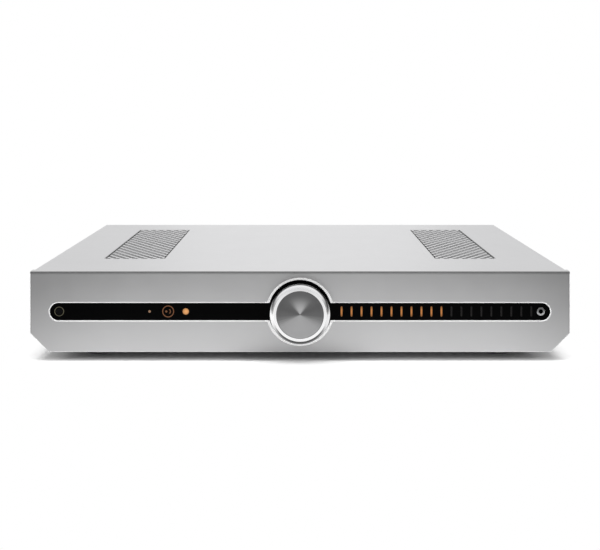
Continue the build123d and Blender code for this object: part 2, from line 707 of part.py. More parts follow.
def board_components():
    # x, y, width, length, top z
    blocks = [(x, 113, 16, 18, 39.0) for x in (-84, -56)]
    blocks += [(x, 89, 10, 6, 26.0) for x in range(-40, 61, 20)]
    blocks += [(91, -12, 26, 8, 31.0), (83, 135, 26, 14, 34.0),
               (84, 40, 10, 8, 31.1), (-98, 128, 10, 8, 31.1)]
    parts = [block_z(x, y, width, length, BOARD_TOP, top)
             for x, y, width, length, top in blocks]
    parts += [rod_z(x, y, 5.0, BOARD_TOP, 36.0)
              for x in range(-70, 56, 25) for y in (48.0, 66.0)]
    return parts


def board_standoffs():
    places = [(x, y) for x in (-106, 106) for y in (-12, 142)] + [(0, 142), (0, 30)]
    return [*[rod_z(x, y, 3.0, TRAY_TOP, BOARD_Z) for x, y in places],
            *[rod_y(x, 48.5, 2.5, SUB_REAR, BOARD_FRONT) for x in (-150, -60, 60, 150)]]


def wire(radius, start, end, *points):
    """Round cable through points; start and end are the directions it leaves and arrives in."""
    path = Spline(*points, tangents=[start, end])
    return sweep(Plane(origin=path @ 0, z_dir=path % 0) * Circle(radius), path=path)


def internal_wiring():
    # (y, z) of the ribbon cable: along its top to the rear, back along its underside
    ribbon = outline((-155.9, 41), (-155.9, 42), (-144, 42), (-140, 38), (-24, 38),
                     (-11.5, 34), (-11.5, 31), (-12.5, 31), (-12.5, 33), (-25, 37),
                     (-140.5, 37), (-144.5, 41))
    return [
        extrude_x(ribbon, 81, 101),
        wire(3.0, (0, -1, 0), (1, -1, -0.5),
             (-176, 146.5, 44), (-160, 128, 46), (-110, 116, 45), (-98, 80, 44),
             (-95, -30, 42), (-63, -66, 40)),
        wire(2.5, (1, 1, 0), (0, 0, -1),
             (44, -36, 46), (66, -22, 46), (84, 20, 42), (84, 40, 31.2)),
        wire(2.2, (0, -1, 0), (0, 0, -1),
             (-100, 147, 40), (-99, 132, 36), (-98, 128, 31.2))]


# ---------------------------------------------------------------- export
PIECES = [
    front_panel, display_window, level_bars_lit, level_bars_unlit, source_lights,
    standby_ring_light, front_subframe, knob_core, knob_rim, knob_face, knob_grub_screw,
    encoder_shaft, encoder_plunger, encoder_body, encoder_nut, standby_button,
    standby_switch, headphone_jack, headphone_bezel, display_board, display_leds,
    base_tray, top_cover, vent_grilles, rear_panel, feet, foot_pads, foot_screws,
    case_screws, fascia_screws, rca_sockets, rca_insulators, input_board,
    digital_sockets, terminal_plate, speaker_posts, ground_post, ground_washer,
    ground_nut, mains_inlet, fuse_drawer, rocker_housing, power_rocker, heatsinks,
    power_transistors, toroidal_transformer, transformer_clamp, main_board,
    reservoir_capacitors, board_components, board_standoffs, internal_wiring]

os.makedirs("parts", exist_ok=True)
for piece in PIECES:
    save(piece.__name__, piece())
for number, post_x in enumerate(POST_X, 1):
    save(f"speaker_cap_{number}", speaker_cap(post_x))
    save(f"clamp_washer_{number}", clamp_washer(post_x))
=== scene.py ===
import math

import bmesh
import bpy
from mathutils import Matrix, Vector

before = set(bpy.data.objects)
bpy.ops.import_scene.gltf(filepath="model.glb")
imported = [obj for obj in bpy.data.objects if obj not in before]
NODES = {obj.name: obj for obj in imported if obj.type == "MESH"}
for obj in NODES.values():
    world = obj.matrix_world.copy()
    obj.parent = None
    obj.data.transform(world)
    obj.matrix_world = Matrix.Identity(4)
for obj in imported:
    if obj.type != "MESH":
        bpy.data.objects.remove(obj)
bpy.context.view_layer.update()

scene = bpy.context.scene
MM = 0.001


# ================================================================ node helpers
class Graph:
    """Small builder for a material's node tree. Positions are in metres, in the row frame."""

    def __init__(self, name):
        self.m = bpy.data.materials.new(name)
        self.m.use_nodes = True
        self.t = self.m.node_tree
        self.t.nodes.clear()
        self.out = self.t.nodes.new("ShaderNodeOutputMaterial")
        self.b = self.t.nodes.new("ShaderNodeBsdfPrincipled")
        self.t.links.new(self.b.outputs[0], self.out.inputs[0])
        self.tc = self.t.nodes.new("ShaderNodeTexCoord")
        self.pos = self.tc.outputs["Object"]

    def put(self, sock, v):
        if isinstance(v, bpy.types.NodeSocket):
            self.t.links.new(v, sock)
        elif isinstance(v, (tuple, list)) and len(v) == 3 and sock.type == "RGBA":
            sock.default_value = (*v, 1.0)
        else:
            sock.default_value = v

    def set(self, **kw):
        for k, v in kw.items():
            self.put(self.b.inputs[k.replace("_", " ")], v)
        return self

    def math(self, op, a, b=0.0, c=None, clamp=False):
        n = self.t.nodes.new("ShaderNodeMath")
        n.operation, n.use_clamp = op, clamp
        self.put(n.inputs[0], a)
        self.put(n.inputs[1], b)
        if c is not None:
            self.put(n.inputs[2], c)
        return n.outputs[0]

    def vmath(self, op, a, b=(0, 0, 0), out=0):
        n = self.t.nodes.new("ShaderNodeVectorMath")
        n.operation = op
        self.put(n.inputs[0], a)
        self.put(n.inputs[1], b)
        return n.outputs[out]

    def scaled(self, sx, sy, sz, src=None):
        return self.vmath("MULTIPLY", src or self.pos, (sx, sy, sz))

    def xyz(self, src=None):
        n = self.t.nodes.new("ShaderNodeSeparateXYZ")
        self.put(n.inputs[0], src or self.pos)
        return n.outputs

    def join(self, x, y, z):
        n = self.t.nodes.new("ShaderNodeCombineXYZ")
        for k, v in enumerate((x, y, z)):
            self.put(n.inputs[k], v)
        return n.outputs[0]

    def noise(self, scale, detail=3.0, rough=0.55, src=None, distortion=0.0):
        n = self.t.nodes.new("ShaderNodeTexNoise")
        n.inputs["Scale"].default_value = scale
        n.inputs["Detail"].default_value = detail
        n.inputs["Roughness"].default_value = rough
        n.inputs["Distortion"].default_value = distortion
        self.put(n.inputs["Vector"], src or self.pos)
        return n.outputs["Fac"]

    def voronoi(self, scale, src=None, feature="F1", out="Distance"):
        n = self.t.nodes.new("ShaderNodeTexVoronoi")
        n.feature = feature
        n.inputs["Scale"].default_value = scale
        self.put(n.inputs["Vector"], src or self.pos)
        return n.outputs[out]

    def span(self, v, a0, a1, b0, b1, smooth=False):
        n = self.t.nodes.new("ShaderNodeMapRange")
        n.interpolation_type = "SMOOTHSTEP" if smooth else "LINEAR"
        self.put(n.inputs["Value"], v)
        for key, x in (("From Min", a0), ("From Max", a1), ("To Min", b0), ("To Max", b1)):
            self.put(n.inputs[key], x)
        return n.outputs["Result"]

    def mix(self, f, a, b):
        n = self.t.nodes.new("ShaderNodeMix")
        n.data_type = "RGBA"
        self.put(n.inputs[0], f)
        self.put(n.inputs[6], a)
        self.put(n.inputs[7], b)
        return n.outputs[2]

    def bump(self, height, dist, strength=1.0, normal=None):
        n = self.t.nodes.new("ShaderNodeBump")
        n.inputs["Strength"].default_value = strength
        n.inputs["Distance"].default_value = dist
        self.put(n.inputs["Height"], height)
        if normal is not None:
            self.put(n.inputs["Normal"], normal)
        return n.outputs[0]

    def bevel(self, radius, samples=4):
        n = self.t.nodes.new("ShaderNodeBevel")
        n.samples = samples
        n.inputs["Radius"].default_value = radius
        return n.outputs[0]

    def edge(self, radius, gain=4.0):
        """1 near a sharp edge, 0 on flat faces: for wear and for cleaner edges."""
        n = self.t.nodes.new("ShaderNodeNewGeometry")
        d = self.vmath("DOT_PRODUCT", self.bevel(radius), n.outputs["Normal"], out=1)
        return self.math("MULTIPLY", self.math("SUBTRACT", 1.0, d), gain, clamp=True)


def vary(g, col, amount, scale, detail=4.0, tint=(1, 1, 1)):
    """Colour drifting round col by amount, in patches of about 1/scale metres."""
    f = g.noise(scale, detail)
    lo = tuple(c * (1 - amount) for c in col)
    hi = tuple(min(1.0, c * (1 + amount) * t) for c, t in zip(col, tint))
    return g.mix(g.span(f, 0.3, 0.7, 0.0, 1.0), lo, hi)


def metal(name, col, rough, grain=0.25, grain_mm=0.35, blotch=0.03, bevel=0.25, wear=0.0):
    """Bead-blasted or cast metal: fine grain in the normal, soft drift in roughness and tone, rounded edges."""
    g = Graph(name)
    fine = g.noise(1.0 / (grain_mm * MM), 2.0, 0.6)
    broad = g.noise(14.0, 4.0, 0.55)
    touch = g.noise(75.0, 5.0, 0.65)
    r = g.math("ADD", g.span(broad, 0.3, 0.7, rough - 0.025, rough + 0.025), g.span(touch, 0.35, 0.75, -0.012, 0.03))
    r = g.math("ADD", r, g.span(fine, 0.3, 0.7, -0.03, 0.03))
    c = g.mix(g.span(broad, 0.3, 0.7, 0.0, 1.0), tuple(x * (1 - blotch) for x in col), tuple(min(1, x * (1 + blotch)) for x in col))
    e = g.edge(bevel * MM * 1.6)
    if wear:
        c = g.mix(g.math("MULTIPLY", e, wear), c, (0.9, 0.9, 0.91))
        r = g.math("SUBTRACT", r, g.math("MULTIPLY", e, 0.12 * wear))
    g.set(Base_Color=c, Metallic=1.0, Roughness=r)
    g.set(Normal=g.bump(fine, grain * 0.02 * MM, 1.0, g.bevel(bevel * MM)))
    return g


def moulded(name, col, rough, tex=0.5, tex_mm=0.9, bevel=0.3, spec=0.5, coat=0.0):
    """Moulded plastic: fine spark-eroded texture, slight colour drift, paler rubbed edges."""
    g = Graph(name)
    t = g.voronoi(1.0 / (tex_mm * MM))
    n = g.noise(1.0 / (tex_mm * 0.5 * MM), 3.0)
    h = g.math("ADD", g.math("MULTIPLY", t, 0.6), g.math("MULTIPLY", n, 0.5))
    big = g.noise(35.0, 4.0)
    c = vary(g, col, 0.16, 60.0)
    e = g.edge(bevel * MM * 1.5)
    c = g.mix(g.math("MULTIPLY", e, 0.35), c, tuple(min(1, x * 1.9 + 0.02) for x in col))
    r = g.math("ADD", g.span(big, 0.3, 0.7, rough - 0.05, rough + 0.06), g.span(n, 0.3, 0.7, -0.04, 0.04))
    g.set(Base_Color=c, Roughness=r, Coat_Weight=coat, Coat_Roughness=0.12)
    g.b.inputs["Specular IOR Level"].default_value = spec
    g.set(Normal=g.bump(h, tex * 0.04 * MM, 1.0, g.bevel(bevel * MM)))
    return g


def use(g, *names):
    m = g.m if isinstance(g, Graph) else g
    for n in names:
        d = NODES[n].data
        d.materials.clear()
        d.materials.append(m)


# ================================================================ silver case metal
g = metal("fascia_metal", (0.80, 0.80, 0.805), 0.40, grain=0.22, grain_mm=0.3, bevel=0.15, wear=0.4)
# the machined chamfers round slot, knob hole and outline are cut bright and finely matt
face_n = g.t.nodes.new("ShaderNodeNewGeometry")
nx, ny, nz = g.xyz(face_n.outputs["True Normal"])
x, y, z = g.xyz()
tilt = g.math("MULTIPLY", g.math("GREATER_THAN", ny, -0.955), g.math("LESS_THAN", ny, -0.55))
tilt = g.math("MULTIPLY", tilt, g.math("LESS_THAN", z, 70.0 * MM))
old_col, old_rough = g.b.inputs["Base Color"].links[0].from_socket, g.b.inputs["Roughness"].links[0].from_socket
tool = g.noise(2400.0, 3.0)
g.set(Base_Color=g.mix(tilt, old_col, g.mix(g.span(tool, 0.3, 0.7, 0.0, 1.0), (0.80, 0.80, 0.80), (0.88, 0.88, 0.88))))
g.set(Metallic=g.math("SUBTRACT", 1.0, g.math("MULTIPLY", tilt, 0.75)), Roughness=g.math("ADD", old_rough, g.math("MULTIPLY", tilt, 0.15)))
# painted highlight: the cut ring round the knob is given a white emission glow; painted shade: the roll over the top
# edge is darkened in its colour
from_axis = g.math("SQRT", g.math("ADD", g.math("MULTIPLY", x, x), g.math("POWER", g.math("SUBTRACT", z, 39.5 * MM), 2.0)))
painted_ring_glow = g.math("MULTIPLY", tilt, g.math("LESS_THAN", from_axis, 29.0 * MM))
g.set(Emission_Color=(1.0, 1.0, 1.0), Emission_Strength=g.math("MULTIPLY", painted_ring_glow, g.span(z, 20.0 * MM, 58.0 * MM, 0.42, 0.38)))
painted_roll_shade = g.math("MULTIPLY", g.math("GREATER_THAN", z, 70.0 * MM), g.math("MULTIPLY", g.math("GREATER_THAN", ny, -0.999), g.math("LESS_THAN", ny, -0.55)))
lit_col = g.b.inputs["Base Color"].links[0].from_socket
# painted shade: a dark band just under the top edge and along both outer ends of the front face
front_on = g.math("LESS_THAN", ny, -0.9)
painted_brow_shade = g.math("MULTIPLY", g.span(z, 68.9 * MM, 70.6 * MM, 0.0, 0.40, smooth=True), front_on)
painted_flank_shade = g.math("MULTIPLY", g.span(g.math("ABSOLUTE", x), 214.4 * MM, 215.7 * MM, 0.0, 0.30, smooth=True), front_on)
lit_col = g.mix(g.math("MAXIMUM", painted_brow_shade, painted_flank_shade), lit_col, (0.10, 0.10, 0.10))
g.set(Base_Color=g.mix(g.math("MULTIPLY", painted_roll_shade, 0.74), lit_col, (0.18, 0.18, 0.18)))
use(g, "front_panel")
g = metal("cover_metal", (0.80, 0.80, 0.81), 0.42, grain=0.22, grain_mm=0.35, blotch=0.02, bevel=0.35, wear=0.35)
# painted shadow: a thin dark line is painted along the long edges of the vent openings, where the gap beside each
# insert lies in shade
x, y, z = g.xyz()
ax = g.math("ABSOLUTE", x)
painted_outer_shadow_line = g.math("LESS_THAN", g.math("ABSOLUTE", g.math("SUBTRACT", ax, 169.0 * MM)), 0.50 * MM)
painted_inner_shadow_line = g.math("LESS_THAN", g.math("ABSOLUTE", g.math("SUBTRACT", ax, 116.95 * MM)), 0.30 * MM)
run = g.math("MULTIPLY", g.math("GREATER_THAN", y, -101.0 * MM), g.math("LESS_THAN", y, 120.0 * MM))
line = g.math("MULTIPLY", g.math("MAXIMUM", painted_outer_shadow_line, painted_inner_shadow_line), g.math("MULTIPLY", run, g.math("GREATER_THAN", z, 60.0 * MM)))
g.set(Base_Color=g.mix(g.math("MULTIPLY", line, 0.80), g.b.inputs["Base Color"].links[0].from_socket, (0.05, 0.05, 0.052)))
use(g, "top_cover")
g = metal("vent_metal", (0.76, 0.76, 0.77), 0.46, grain=0.25, grain_mm=0.35, blotch=0.03, bevel=0.25, wear=0.2)
x, y, z = g.xyz()
# painted shade: the hole walls and the flange below the top face are darkened to near black
painted_hole_shade = g.span(z, 71.2 * MM, 71.7 * MM, 1.0, 0.0, smooth=True)
g.set(Base_Color=g.mix(painted_hole_shade, g.b.inputs["Base Color"].links[0].from_socket, (0.045, 0.045, 0.047)))
use(g, "vent_grilles")

# ================================================================ black sheet metal
g = Graph("chassis_paint")
cell = g.voronoi(900.0)
crinkle = g.noise(1500.0, 4.0, 0.6)
h = g.math("ADD", g.math("MULTIPLY", cell, 0.8), crinkle)
c = vary(g, (0.022, 0.022, 0.024), 0.25, 25.0)
e = g.edge(0.5 * MM)
c = g.mix(g.math("MULTIPLY", e, 0.45), c, (0.10, 0.10, 0.105))
g.set(Base_Color=c, Roughness=g.span(crinkle, 0.3, 0.7, 0.46, 0.62), Metallic=0.0)
g.set(Normal=g.bump(h, 0.05 * MM, 0.9, g.bevel(0.3 * MM)))
g.b.inputs["Specular IOR Level"].default_value = 0.32
use(g, "base_tray")

# rear panel: same paint, with thin pale rules grouping the sockets, no lettering
g = Graph("rear_paint")
cell = g.voronoi(900.0)
crinkle = g.noise(1500.0, 4.0, 0.6)
h = g.math("ADD", g.math("MULTIPLY", cell, 0.8), crinkle)
x, y, z = g.xyz()


def frame_rule(x0, x1, z0, z1, w=0.35 * MM):
    """Mask of a thin rectangular rule, 1 on the line."""
    cx, cz, hx, hz = (x0 + x1) / 2, (z0 + z1) / 2, (x1 - x0) / 2, (z1 - z0) / 2
    dx = g.math("SUBTRACT", g.math("ABSOLUTE", g.math("SUBTRACT", x, cx)), hx)
    dz = g.math("SUBTRACT", g.math("ABSOLUTE", g.math("SUBTRACT", z, cz)), hz)
    d = g.math("ABSOLUTE", g.math("MAXIMUM", dx, dz))
    return g.math("LESS_THAN", d, w)


rules = [frame_rule(*[v * MM for v in r]) for r in ((10, 50, 20.5, 57.5), (52, 90, 20.5, 57.5), (92, 134, 20.5, 57.5), (-29, 8, 20.5, 57.5), (-125, -30, 24, 56))]
line = rules[0]
for r_ in rules[1:]:
    line = g.math("MAXIMUM", line, r_)
worn = g.span(g.noise(900.0, 3.0), 0.25, 0.35, 0.55, 1.0)
c = vary(g, (0.022, 0.022, 0.024), 0.25, 25.0)
c = g.mix(g.math("MULTIPLY", g.edge(0.5 * MM), 0.45), c, (0.10, 0.10, 0.105))
c = g.mix(g.math("MULTIPLY", line, worn), c, (0.62, 0.62, 0.60))
g.set(Base_Color=c, Roughness=g.span(crinkle, 0.3, 0.7, 0.46, 0.62))
g.set(Normal=g.bump(h, 0.05 * MM, 0.9, g.bevel(0.3 * MM)))
g.b.inputs["Specular IOR Level"].default_value = 0.26
use(g, "rear_panel")

# ================================================================ plated and polished metals
plate_g = metal("nickel_plate", (0.70, 0.70, 0.71), 0.20, grain=0.15, grain_mm=0.6, blotch=0.05, bevel=0.12, wear=0.1)
use(plate_g, "encoder_shaft", "encoder_plunger", "encoder_body", "encoder_nut", "ground_post", "ground_washer", "ground_nut",
    "transformer_clamp", "fascia_screws", "board_standoffs")
# painted reflection: the dished socket ring is darkened in its upper half, standing in for the dark room it mirrors;
# the lower half mirrors the floor
g = metal("bezel_plate", (0.70, 0.70, 0.71), 0.24, grain=0.15, grain_mm=0.6, blotch=0.05, bevel=0.12, wear=0.1)
x, y, z = g.xyz()
shade = g.span(z, 38.2 * MM, 41.2 * MM, 0.0, 0.72, smooth=True)
g.set(Base_Color=g.mix(shade, g.b.inputs["Base Color"].links[0].from_socket, (0.10, 0.10, 0.10)))
use(g, "headphone_bezel")
gold_g = metal("gold_plate", (0.86, 0.62, 0.27), 0.19, grain=0.15, grain_mm=0.6, blotch=0.05, bevel=0.12)
use(gold_g, "rca_sockets", "speaker_posts", *[f"clamp_washer_{k}" for k in (1, 2, 3, 4)])
use(metal("zinc_sheet", (0.55, 0.56, 0.57), 0.38, grain=0.4, grain_mm=1.4, blotch=0.12, bevel=0.2), "front_subframe")
use(metal("black_steel", (0.055, 0.055, 0.058), 0.34, grain=0.3, grain_mm=0.5, blotch=0.1, bevel=0.15, wear=0.25), "case_screws", "foot_screws", "knob_grub_screw")
use(metal("sink_black", (0.05, 0.05, 0.052), 0.42, grain=0.4, grain_mm=0.5, blotch=0.1, bevel=0.2, wear=0.3), "heatsinks")

# ================================================================ knob
g = Graph("knob_rim_polish")
x, y, z = g.xyz()
rad = g.math("SQRT", g.math("ADD", g.math("MULTIPLY", x, x), g.math("POWER", g.math("SUBTRACT", z, 39.5 * MM), 2.0)))
lathe = g.noise(1.0, 3.0, 0.7, src=g.join(g.math("MULTIPLY", rad, 9000.0), g.math("MULTIPLY", y, 9000.0), 0.0))
tan = g.t.nodes.new("ShaderNodeTangent")
tan.direction_type, tan.axis = "RADIAL", "Y"
g.set(Base_Color=vary(g, (0.87, 0.87, 0.875), 0.02, 60.0), Metallic=1.0, Roughness=g.span(lathe, 0.3, 0.7, 0.10, 0.16),
      Anisotropic=0.25, Anisotropic_Rotation=0.25, Tangent=tan.outputs[0])
g.set(Normal=g.bump(lathe, 0.002 * MM, 1.0))
# painted highlight: the flat of the lip gets a white emission glow all the way round, stronger at the top, and the
# rounding outside it glows at the left and right
lip = g.math("MULTIPLY", g.span(rad, 20.6 * MM, 21.6 * MM, 1.0, 0.0, smooth=True), g.math("GREATER_THAN", rad, 18.72 * MM))
geo_r = g.t.nodes.new("ShaderNodeNewGeometry")
rx, ry, rz = g.xyz(geo_r.outputs["Position"])
rdz = g.math("SUBTRACT", rz, 39.5 * MM)
high = g.math("DIVIDE", rdz, g.math("MAXIMUM", rad, 1.0 * MM))
side_glow_weight = g.math("MULTIPLY", g.span(g.math("ABSOLUTE", high), 0.0, 0.62, 1.0, 0.0, smooth=True), g.span(rx, -20.0 * MM, 20.0 * MM, 0.28, 0.12, smooth=True))
painted_side_glow = g.math("MULTIPLY", g.math("SUBTRACT", 1.0, lip), side_glow_weight)
painted_lip_glow = g.math("MULTIPLY", lip, g.span(high, 0.1, 0.9, 0.17, 0.35, smooth=True))
g.set(Emission_Color=(1.0, 1.0, 1.0), Emission_Strength=g.math("ADD", painted_lip_glow, painted_side_glow))
# painted reflection: the lower rounding is darkened, standing in for the dark floor under the knob
painted_low_rim_shade = g.math("MULTIPLY", g.span(high, -0.75, -0.30, 0.55, 0.0, smooth=True), g.span(rad, 21.3 * MM, 22.0 * MM, 0.0, 1.0, smooth=True))
g.set(Base_Color=g.mix(painted_low_rim_shade, g.b.inputs["Base Color"].links[0].from_socket, (0.10, 0.10, 0.10)))
use(g, "knob_rim")

g = Graph("knob_face_spun")
x, y, z = g.xyz()
dz = g.math("SUBTRACT", z, 39.5 * MM)
rad = g.math("SQRT", g.math("ADD", g.math("MULTIPLY", x, x), g.math("MULTIPLY", dz, dz)))
rings = g.noise(1.0, 4.0, 0.75, src=g.join(g.math("MULTIPLY", rad, 5200.0), 0.0, 0.0))
broad = g.noise(1.0, 2.0, 0.5, src=g.join(g.math("MULTIPLY", rad, 420.0), 0.0, 3.0))
ang = g.math("ARCTAN2", dz, x)
streak = g.noise(1.0, 2.0, 0.6, src=g.join(g.math("MULTIPLY", g.math("SINE", ang), 22.0), g.math("MULTIPLY", g.math("COSINE", ang), 22.0), 0.0))
tan = g.t.nodes.new("ShaderNodeTangent")
tan.direction_type, tan.axis = "RADIAL", "Y"
# painted reflection: bright fans above and below the centre and dark side sectors are painted into the colour in world
# space, so they stay put however the knob is turned, as turned grooves would make them
geo_n = g.t.nodes.new("ShaderNodeNewGeometry")
wx, wy, wz = g.xyz(geo_n.outputs["Position"])
wdz = g.math("SUBTRACT", wz, 39.5 * MM)
wrad = g.math("MAXIMUM", g.math("SQRT", g.math("ADD", g.math("MULTIPLY", wx, wx), g.math("MULTIPLY", wdz, wdz))), 0.5 * MM)
upness = g.math("ADD", g.math("DIVIDE", wdz, wrad), g.span(streak, 0.3, 0.7, -0.05, 0.05))
below = g.math("MULTIPLY", g.span(upness, -0.62, -0.02, 1.0, 0.0, smooth=True), 0.88)
above = g.math("MULTIPLY", g.span(upness, 0.66, 0.98, 0.0, 1.0, smooth=True), g.span(wrad, 3.0 * MM, 15.5 * MM, 1.0, 0.10, smooth=True))
painted_fan = g.math("MAXIMUM", below, above)
painted_fan = g.math("MULTIPLY", g.math("ADD", g.math("MULTIPLY", painted_fan, 0.68), 0.32), g.span(g.math("MULTIPLY", wdz, 1.0), 9.0 * MM, 18.0 * MM, 1.0, 0.75, smooth=True))
c = g.mix(g.span(rings, 0.3, 0.7, 0.0, 1.0), (0.70, 0.70, 0.705), (0.82, 0.82, 0.83))
# painted shade: a dark ring at the rim of the recessed disc
c = g.mix(g.span(rad, 18.35 * MM, 18.7 * MM, 0.0, 1.0), c, (0.16, 0.16, 0.16))
c = g.mix(painted_fan, (0.02, 0.02, 0.02), c)
r = g.math("ADD", g.span(broad, 0.3, 0.7, 0.44, 0.50), g.span(streak, 0.3, 0.7, -0.03, 0.03))
g.set(Base_Color=c, Metallic=1.0, Roughness=r, Anisotropic=0.95, Anisotropic_Rotation=0.25, Tangent=tan.outputs[0])
g.set(Normal=g.bump(rings, 0.0035 * MM, 1.0))
use(g, "knob_face")
use(metal("knob_black", (0.018, 0.018, 0.019), 0.36, grain=0.3, grain_mm=0.3, blotch=0.1, bevel=0.15), "knob_core")

# ================================================================ display window and lights
g = Graph("window_acrylic")
haze = g.noise(40.0, 5.0, 0.6)
dust = g.math("GREATER_THAN", g.noise(2600.0, 1.0), 0.80)
g.set(Base_Color=g.mix(g.math("MULTIPLY", dust, 0.5), (0.0010, 0.0010, 0.0011), (0.012, 0.012, 0.012)), Roughness=g.span(haze, 0.3, 0.7, 0.05, 0.11))
g.b.inputs["Specular IOR Level"].default_value = 0.02
g.set(Normal=g.bump(g.noise(60.0, 2.0), 0.02 * MM, 0.3, g.bevel(0.15 * MM)))
use(g, "display_window")


def light_inlay(name, body, glow, power, half_z=4.1 * MM, low=0.62):
    """Translucent inlay lit from behind: brightest along its middle, soft towards the rim."""
    g = Graph(name)
    x, y, z = g.xyz()
    dz = g.math("ABSOLUTE", g.math("SUBTRACT", z, 39.5 * MM))
    f = g.span(dz, 0.8 * MM, half_z, 1.0, low, smooth=True)
    grainy = g.span(g.noise(1400.0, 3.0), 0.3, 0.7, 0.94, 1.06)
    g.set(Base_Color=vary(g, body, 0.1, 500.0), Roughness=g.span(g.noise(700.0), 0.3, 0.7, 0.30, 0.42))
    g.set(Emission_Color=glow, Emission_Strength=g.math("MULTIPLY", g.math("MULTIPLY", f, grainy), power))
    g.b.inputs["Specular IOR Level"].default_value = 0.2
    return g


use(light_inlay("bar_lit", (0.05, 0.02, 0.006), (0.52, 0.205, 0.058), 0.84, low=0.40), "level_bars_lit")
use(light_inlay("bar_unlit", (0.006, 0.0055, 0.0055), (0.008, 0.007, 0.007), 0.30), "level_bars_unlit")
# source lights: ring dim, small mark dimmer, big dot bright, status dot pale
g = Graph("source_glow")
x, y, z = g.xyz()
right = g.math("GREATER_THAN", x, -97.0 * MM)
left = g.math("LESS_THAN", x, -115.0 * MM)
power = g.math("ADD", g.math("MULTIPLY", right, 0.42), g.math("ADD", g.math("MULTIPLY", left, 0.25), 0.42))
glow = g.mix(right, (0.34, 0.115, 0.032), (0.66, 0.30, 0.10))
glow = g.mix(left, glow, (0.42, 0.26, 0.16))
dx = g.math("SUBTRACT", x, -91.3 * MM)
dz = g.math("SUBTRACT", z, 39.5 * MM)
spot = g.math("SQRT", g.math("ADD", g.math("MULTIPLY", dx, dx), g.math("MULTIPLY", dz, dz)))
core = g.math("MULTIPLY", g.span(spot, 0.4 * MM, 2.5 * MM, 1.35, 0.85, smooth=True), power)
g.set(Base_Color=(0.04, 0.018, 0.006), Roughness=g.span(g.noise(900.0), 0.3, 0.7, 0.3, 0.42), Emission_Color=glow, Emission_Strength=g.math("MULTIPLY", core, 1.0))
use(g, "source_lights")
use(light_inlay("standby_glow", (0.03, 0.03, 0.022), (0.10, 0.09, 0.052), 0.62), "standby_ring_light")
use(moulded("button_gloss", (0.0025, 0.0025, 0.0028), 0.20, tex=0.05, bevel=0.1, spec=0.06), "standby_button")
use(moulded("rocker_gloss", (0.006, 0.006, 0.0065), 0.16, tex=0.05, bevel=0.2, spec=0.35), "power_rocker")

# ================================================================ plastics and rubber
use(moulded("moulded_black", (0.016, 0.016, 0.017), 0.46, tex=0.5, bevel=0.25), "mains_inlet", "fuse_drawer", "rocker_housing", "digital_sockets", "headphone_jack",
    "standby_switch", "power_transistors")
use(moulded("terminal_black", (0.012, 0.012, 0.013), 0.26, tex=0.3, bevel=0.3), "terminal_plate")
use(moulded("cap_black_plastic", (0.014, 0.014, 0.015), 0.22, tex=0.12, bevel=0.3, coat=0.3), "speaker_cap_1", "speaker_cap_4")
use(moulded("cap_red_plastic", (0.36, 0.012, 0.012), 0.22, tex=0.12, bevel=0.3, coat=0.3), "speaker_cap_2", "speaker_cap_3")
use(moulded("foot_plastic", (0.018, 0.018, 0.019), 0.42, tex=0.7, tex_mm=0.8, bevel=0.5), "feet")
use(moulded("foot_rubber", (0.02, 0.02, 0.02), 0.82, tex=1.0, tex_mm=0.5, bevel=0.4, spec=0.25), "foot_pads")
# phono insulators: upper row pale, lower row red
g = moulded("phono_insulator", (0.6, 0.6, 0.58), 0.34, tex=0.15, bevel=0.15)
x, y, z = g.xyz()
g.set(Base_Color=g.mix(g.math("GREATER_THAN", z, 39.0 * MM), vary(g, (0.46, 0.015, 0.015), 0.1, 200.0), vary(g, (0.62, 0.62, 0.60), 0.06, 200.0)))
use(g, "rca_insulators")

# ================================================================ electronics
g = Graph("board_mask")
x, y, z = g.xyz()
trace = g.voronoi(260.0, src=g.scaled(1, 1, 1), feature="DISTANCE_TO_EDGE")
tr = g.math("LESS_THAN", trace, 0.05)
fib = g.noise(1800.0, 3.0)
g.set(Base_Color=g.mix(tr, vary(g, (0.014, 0.09, 0.035), 0.15, 50.0), (0.03, 0.17, 0.06)), Roughness=g.span(fib, 0.3, 0.7, 0.32, 0.45))
g.set(Normal=g.bump(g.math("MULTIPLY", tr, 1.0), 0.03 * MM, 0.8, g.bevel(0.1 * MM)))
use(g, "main_board", "input_board", "display_board")
use(moulded("component_dark", (0.02, 0.02, 0.024), 0.42, tex=0.3, bevel=0.3), "board_components", "display_leds")
g = moulded("capacitor_wrap", (0.012, 0.02, 0.055), 0.28, tex=0.1, bevel=0.4)
x, y, z = g.xyz()
g.set(Base_Color=g.mix(g.math("GREATER_THAN", z, 61.2 * MM), vary(g, (0.012, 0.02, 0.055), 0.12, 80.0), (0.5, 0.5, 0.5)))
use(g, "reservoir_capacitors")
# transformer: overlapping turns of tape round the ring
g = Graph("winding_tape")
x, y, z = g.xyz()
dy = g.math("SUBTRACT", y, -85.0 * MM)
a = g.math("ARCTAN2", dy, x)
turn = g.math("FRACT", g.math("MULTIPLY", a, 60.0 / (2 * math.pi)))
g.set(Base_Color=vary(g, (0.055, 0.035, 0.018), 0.3, 60.0), Roughness=g.span(turn, 0.0, 1.0, 0.30, 0.5))
g.set(Normal=g.bump(turn, 0.25 * MM, 0.8))
use(g, "toroidal_transformer")
use(moulded("wire_jacket", (0.16, 0.16, 0.165), 0.5, tex=0.3, bevel=0.1), "internal_wiring")

# ================================================================ stage, light, camera
floor_mesh = bpy.data.meshes.new("studio_floor")
bm = bmesh.new()
S = 14.0
vs = [bm.verts.new(v) for v in ((-S, -S, 0), (S, -S, 0), (S, S, 0), (-S, S, 0))]
bm.faces.new(vs)
bm.to_mesh(floor_mesh)
bm.free()
floor = bpy.data.objects.new("studio_floor", floor_mesh)
scene.collection.objects.link(floor)

